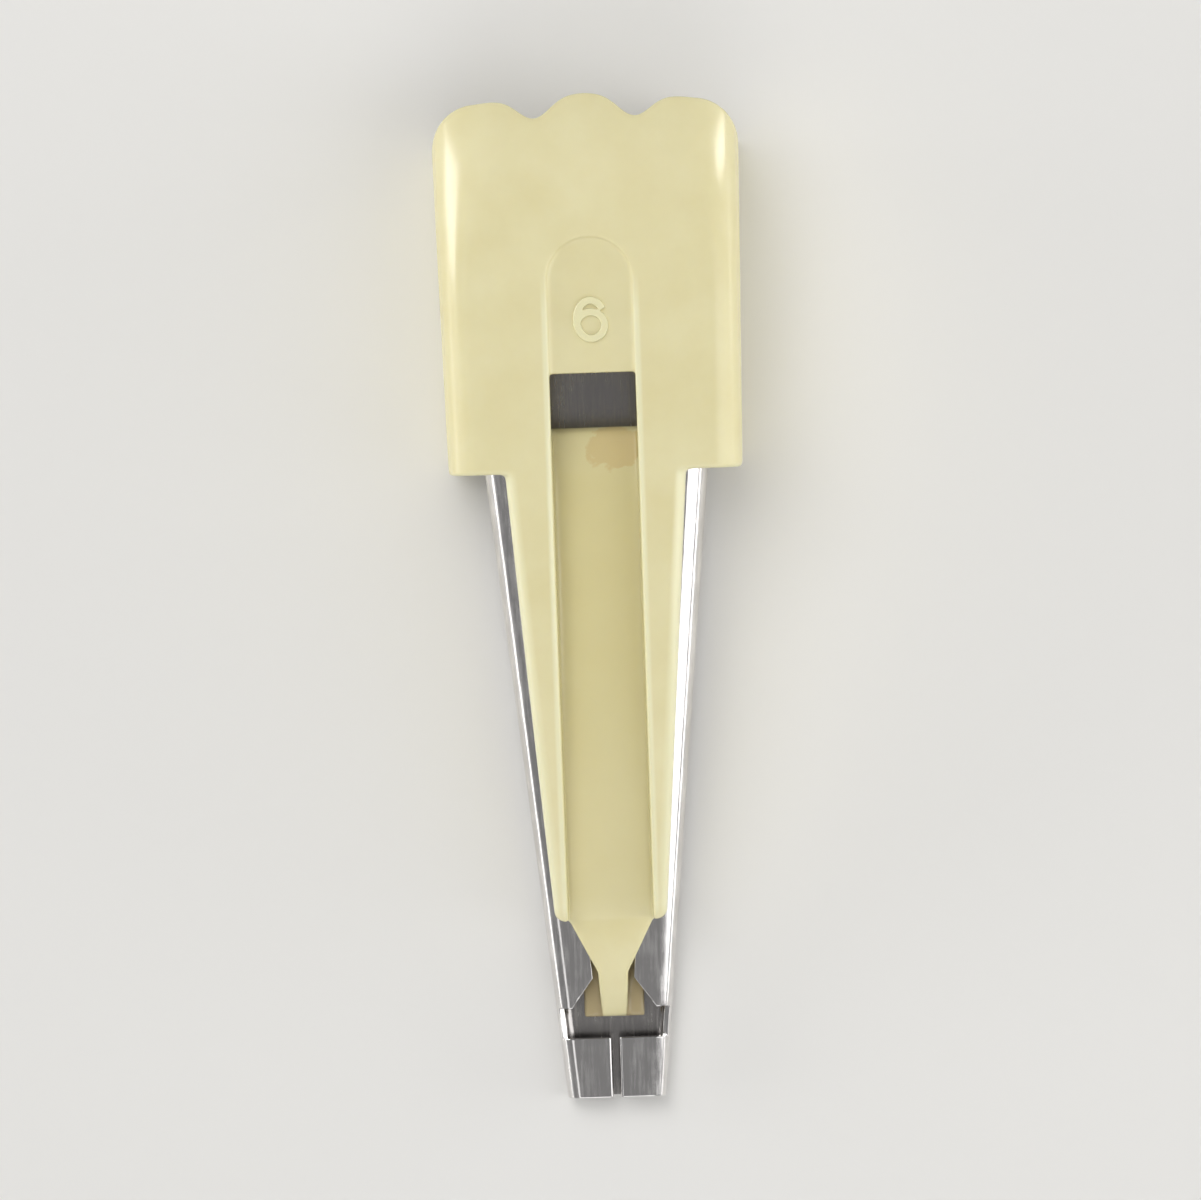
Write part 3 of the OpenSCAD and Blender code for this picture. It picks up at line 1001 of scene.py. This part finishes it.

# %% Painted shadow in front of the window
SHADOW_SPOT = (1.2, along(41.1), FLOOR_TOP)
SHADOW_SPOT_HALVES = (1.8, 1.5, 1.8)
shadow_spot = add("ShaderNodeMapping", Location=SHADOW_SPOT, Scale=SHADOW_SPOT_HALVES)
shadow_spot.vector_type = "TEXTURE"
join(bench.outputs["Vector"], shadow_spot.inputs["Vector"])
away = add("ShaderNodeVectorMath", "LENGTH")
join(shadow_spot.outputs["Vector"], away.inputs[0])
ragged = add("ShaderNodeTexNoise", Scale=1500.0, Detail=4.0)
join(place, ragged.inputs["Vector"])
upset = add("ShaderNodeMath", "ADD")
join(away.outputs["Value"], upset.inputs[0])
join(ragged.outputs["Fac"], upset.inputs[1])
shadow_share = add("ShaderNodeMapRange", From_Min=1.52, From_Max=1.40, To_Max=0.9)
join(upset.outputs["Value"], shadow_share.inputs["Value"])
# Painted shadow: a tan patch with a ragged edge on the groove's floor, in front of the window
tinted = paint_light_over(shadow_share.outputs["Result"], tinted, (0.665, 0.54, 0.26))
print("Mark at", [round(v, 1) for v in SHADOW_SPOT], "mm")

# %% Painted shade on the shoe, painted highlight on the number
SHOE_SHADE_LIMITS = [
    ("beside", 0.70, 0.78),
    ("along", along(9.6), along(9.0)),
    ("height", 2.0, 1.7)]
NUMBER_HIGHLIGHT_LIMITS = [
    ("beside", 2.0, 1.8),
    ("along", along(52.4), along(52.0)),
    ("height", PAD_Z + 0.03, PAD_Z + 0.12)]
# Painted shade: the shoe below the wings is painted brown
tinted = paint_light_over(within(SHOE_SHADE_LIMITS), tinted, (0.42, 0.34, 0.19))
# Painted highlight: the top of the raised 6 is painted paler
tinted = paint_light_over(within(NUMBER_HIGHLIGHT_LIMITS), tinted, (0.80, 0.75, 0.46))
print("Shaded below", SHOE_SHADE_LIMITS[2][1], "mm, brightened above", round(NUMBER_HIGHLIGHT_LIMITS[2][1], 2), "mm")

# %% Painted highlights on the edges of the rails
EDGE_HIGHLIGHT = (0.81, 0.775, 0.51)
TAPER = (neck_edge(HOOD_START) - neck_edge(RAIL_START)) / (HOOD_START - RAIL_START)
OUTER_EDGE = neck_edge(RAIL_START) - TAPER * along(RAIL_START)
RAIL_FRONT = ("along", along(RAIL_START), along(RAIL_START + 1))
RIM_HIGHLIGHT_LIMITS = [
    ("beside", RIM - 0.05, RIM + 0.07),
    ("beside", RIM + 0.45, RIM + 0.29),
    RAIL_FRONT,
    ("along", along(52.0), along(49.5)),
    ("facing up", 0.2, 0.6)]
OUTER_HIGHLIGHT_LIMITS = [
    ("beside the taper", OUTER_EDGE - 0.75, OUTER_EDGE - 0.35),
    RAIL_FRONT,
    ("along", along(HOOD_START + 0.3), along(HOOD_START - 0.3)),
    ("facing up", 0.0, 0.25)]
straight = add("ShaderNodeMath", "MULTIPLY_ADD")
join(measured["along"], straight.inputs[0])
straight.inputs[1].default_value = -TAPER
join(measured["beside"], straight.inputs[2])
measured["beside the taper"] = straight.outputs["Value"]
# Painted highlights: pale lines along the rounded inner and outer edges of the rails
for limits in (RIM_HIGHLIGHT_LIMITS, OUTER_HIGHLIGHT_LIMITS):
    tinted = paint_light_over(within(limits), tinted, EDGE_HIGHLIGHT)
join(tinted, shader.inputs["Base Color"])
for piece in (handle, number):
    piece.data.materials.clear()
    piece.data.materials.append(cream)
print("Plastic in all:", len(cream.node_tree.nodes), "nodes")

# %% [markdown]
# ## Plated steel
# The channel is bright plated steel. Rolling leaves fine lines along its length, and handling leaves
# smears. The inside of the fold is given a rougher finish and a darker grey, and the darker grey is
# painted shade. So two finishes are made by one helper, and the faces that look at the middle of the
# channel get the dull, shaded one. The lines are noise that is stretched along the tool.

# %% Steel with lines and smears
def steel(name, low, high, polish):
    """Steel with rolling lines and smears: two greys and a range of roughness."""
    material, shader, add, join = new_finish(name)
    shader.inputs["Metallic"].default_value = 1.0
    place = add("ShaderNodeTexCoord").outputs["Object"]
    stretch = add("ShaderNodeMapping", Scale=(5200.0, 160.0, 5200.0))
    join(place, stretch.inputs["Vector"])
    lines = add("ShaderNodeTexNoise", Scale=1.0, Detail=3.0)
    join(stretch.outputs["Vector"], lines.inputs["Vector"])
    smears = add("ShaderNodeTexNoise", Scale=320.0, Detail=5.0, Roughness=0.6)
    join(place, smears.inputs["Vector"])
    both = add("ShaderNodeMath", "MULTIPLY")
    join(lines.outputs["Fac"], both.inputs[0])
    join(smears.outputs["Fac"], both.inputs[1])
    streaks = add("ShaderNodeMapRange", From_Min=0.12, From_Max=0.42)
    join(both.outputs["Value"], streaks.inputs["Value"])
    tone = two_tones(add, low, high)
    join(streaks.outputs["Result"], tone.inputs["Fac"])
    join(tone.outputs["Color"], shader.inputs["Base Color"])
    gloss = add("ShaderNodeMapRange", To_Min=polish[0], To_Max=polish[1])
    join(streaks.outputs["Result"], gloss.inputs["Value"])
    join(gloss.outputs["Result"], shader.inputs["Roughness"])
    bump = add("ShaderNodeBump", Strength=0.1, Distance=0.00002)
    join(lines.outputs["Fac"], bump.inputs["Height"])
    join(bump.outputs["Normal"], shader.inputs["Normal"])
    return material


channel.data.materials.clear()
# The second finish is rougher, and its darker grey is painted shade
for name, low, high, polish in [
        ("plated_steel", (0.73, 0.71, 0.70), (0.86, 0.84, 0.825), (0.10, 0.22)),
        ("dull_steel_painted_shade", (0.43, 0.41, 0.40), (0.49, 0.47, 0.45), (0.20, 0.30))]:
    channel.data.materials.append(steel(name, low, high, polish))
print("Finishes of the channel:", ", ".join(channel.data.materials.keys()))

# %% Rougher inside, with painted shade
INWARD = 0.3
SHADED_INSIDE = 1


def looks_inside(face):
    """True for a face that looks at the middle of the channel."""
    x, y, z = spot = face.center * 1000
    s = station(y)
    core = Vector((min(max(x, -roll_x(s)), roll_x(s)), y, middle_z(s)))
    return (core - spot).dot(face.normal) > INWARD


# Painted shade: the faces inside the fold get the darker, rougher steel
select_where(channel, looks_inside, "FACE")
channel.active_material_index = SHADED_INSIDE
bpy.ops.object.material_slot_assign()
put_down()
print("Dull faces:", sum(face.material_index for face in channel.data.polygons))

# %% [markdown]
# ## Floor
# The tool lies on a plain pale floor. Near the tool the floor takes its light and its shadow from
# the lamps. Far away no lamp reaches it, so there it glows in its own colour, but only for the camera
# and for reflections. That gives low views a pale background and puts no more light on the tool.

# %% Lay the floor
PALE = (0.80, 0.79, 0.765, 1)
put_down()
bpy.ops.mesh.primitive_plane_add(size=4, location=(0, 0, -0.00002))
floor = bpy.context.object
floor.name = "floor"
paper, shader, add, join = new_finish("pale_floor")
shader.inputs["Base Color"].default_value = PALE
shader.inputs["Roughness"].default_value = 0.9
shader.inputs["Specular IOR Level"].default_value = 0.0
floor.data.materials.append(paper)
print("Floor laid:", [round(v, 1) for v in floor.dimensions], "m")

# %% Let it glow far away
distance = add("ShaderNodeVectorMath", "LENGTH")
join(add("ShaderNodeTexCoord").outputs["Object"], distance.inputs[0])
far = add("ShaderNodeMapRange", From_Min=0.12, From_Max=0.45)
join(distance.outputs["Value"], far.inputs["Value"])
rays = add("ShaderNodeLightPath")
seen = rays.outputs["Is Camera Ray"]
for kind in ("Is Glossy Ray", "Is Transmission Ray"):
    either = add("ShaderNodeMath", "MAXIMUM")
    join(seen, either.inputs[0])
    join(rays.outputs[kind], either.inputs[1])
    seen = either.outputs["Value"]
glowing = add("ShaderNodeMath", "MULTIPLY")
join(far.outputs["Result"], glowing.inputs[0])
join(seen, glowing.inputs[1])
sweep = add("ShaderNodeMixShader")
glow = add("ShaderNodeEmission", Color=PALE)
join(glowing.outputs["Value"], sweep.inputs[0])
join(shader.outputs["BSDF"], sweep.inputs[1])
join(glow.outputs["Emission"], sweep.inputs[2])
join(sweep.outputs["Shader"], paper.node_tree.nodes["Material Output"].inputs["Surface"])
print("The floor glows from", round(far.inputs["From Min"].default_value, 2), "m on")

# %% [markdown]
# ## Light
# A soft box behind on the left is the main light, one in front lights the groove along its length,
# and one on the right draws the bright band on the channel's right side. Two strips low at the sides
# keep the skirts from going dark. Bright metal shows whatever stands round it, so the boxes that
# would spoil a reflection only light, and five cards only reflect. Two low ones give the channel its
# white outer lines, two give the hood's rear corners their highlights, and one gives the tip its
# thin streak. The world is pale at the horizon and grey overhead, where it would wash out the metal.

# %% Soft boxes
def soft_box(name, spot, width, length, watts):
    """A rectangular lamp that faces the tool."""
    put_down()
    bpy.ops.object.light_add(type="AREA", location=spot)
    lamp = bpy.context.object
    lamp.name = name
    lamp.data.shape = "RECTANGLE"
    lamp.data.size = width
    lamp.data.size_y = length
    lamp.data.energy = watts
    lamp.rotation_euler = Vector(spot).to_track_quat("Z", "Y").to_euler()
    lamp.visible_camera = False
    return lamp


soft_box("front_box", (0.0, -0.25, 0.25), 0.30, 0.24, 0.24)
soft_box("right_box", (0.20, -0.035, 0.20), 0.12, 0.28, 0.21)
for name, spot, width, length, watts in [
        ("key_box", (-0.10, 0.14, 0.30), 0.24, 0.24, 0.55),
        ("left_strip", (-0.50, 0.0, 0.075), 0.33, 0.15, 0.95),
        ("right_strip", (0.50, 0.0, 0.075), 0.33, 0.15, 0.75)]:
    soft_box(name, spot, width, length, watts).visible_glossy = False
for name, spot, width, length, watts in [
        ("left_edge", (-0.50, 0.0, 0.035), 0.33, 0.07, 0.12),
        ("right_edge", (0.50, 0.0, 0.035), 0.33, 0.07, 0.12),
        ("left_card", (-0.25, 0.09, 0.12), 0.11, 0.14, 0.43),
        ("right_card", (0.24, 0.13, 0.11), 0.06, 0.10, 0.22),
        ("tip_card", (-0.17, -0.135, 0.36), 0.05, 0.10, 0.016)]:
    soft_box(name, spot, width, length, watts).visible_diffuse = False

# %% World
SKY = {"From Min": 0.04, "From Max": 0.34, "To Min": 0.80, "To Max": 0.25}
world = bpy.data.worlds.new("studio")
world.use_nodes = True
sky = world.node_tree
upward = sky.nodes.new("ShaderNodeSeparateXYZ")
sky.links.new(sky.nodes.new("ShaderNodeTexCoord").outputs["Generated"], upward.inputs["Vector"])
fade = sky.nodes.new("ShaderNodeMapRange")
for key, value in SKY.items():
    fade.inputs[key].default_value = value
sky.links.new(upward.outputs["Z"], fade.inputs["Value"])
sky.links.new(fade.outputs["Result"], sky.nodes["Background"].inputs["Strength"])
sky.nodes["Background"].inputs["Color"].default_value = (1, 1, 1, 1)
bpy.context.scene.world = world
bpy.context.scene.view_settings.view_transform = "Standard"
print("World from", SKY["To Min"], "at the horizon to", SKY["To Max"], "overhead")

# %% [markdown]
# ## Camera
# The photograph was taken from almost straight above, so the camera looks down from there with a
# long lens, a little from the rear, and with the tool leaning a little in the picture.

# %% Camera
LEAN = math.radians(1.9)
FROM_RIGHT = math.radians(0.5)
FROM_REAR = math.radians(2)
AIM = Vector((0, 0, 0.005))
DISTANCE = 0.45
towards = Vector((math.sin(FROM_RIGHT), math.sin(FROM_REAR), 1)).normalized()
up = Vector((math.sin(LEAN), math.cos(LEAN), 0))
up = (up - towards * up.dot(towards)).normalized()
right = up.cross(towards)
bpy.ops.object.camera_add()
camera = bpy.context.object
camera.data.lens = 216
camera.data.clip_start = 0.01
turned = Matrix((right, up, towards)).transposed().to_4x4()
camera.matrix_world = Matrix.Translation(AIM + towards * DISTANCE) @ turned
bpy.context.scene.camera = camera
print("Camera at", [round(v, 3) for v in camera.location])
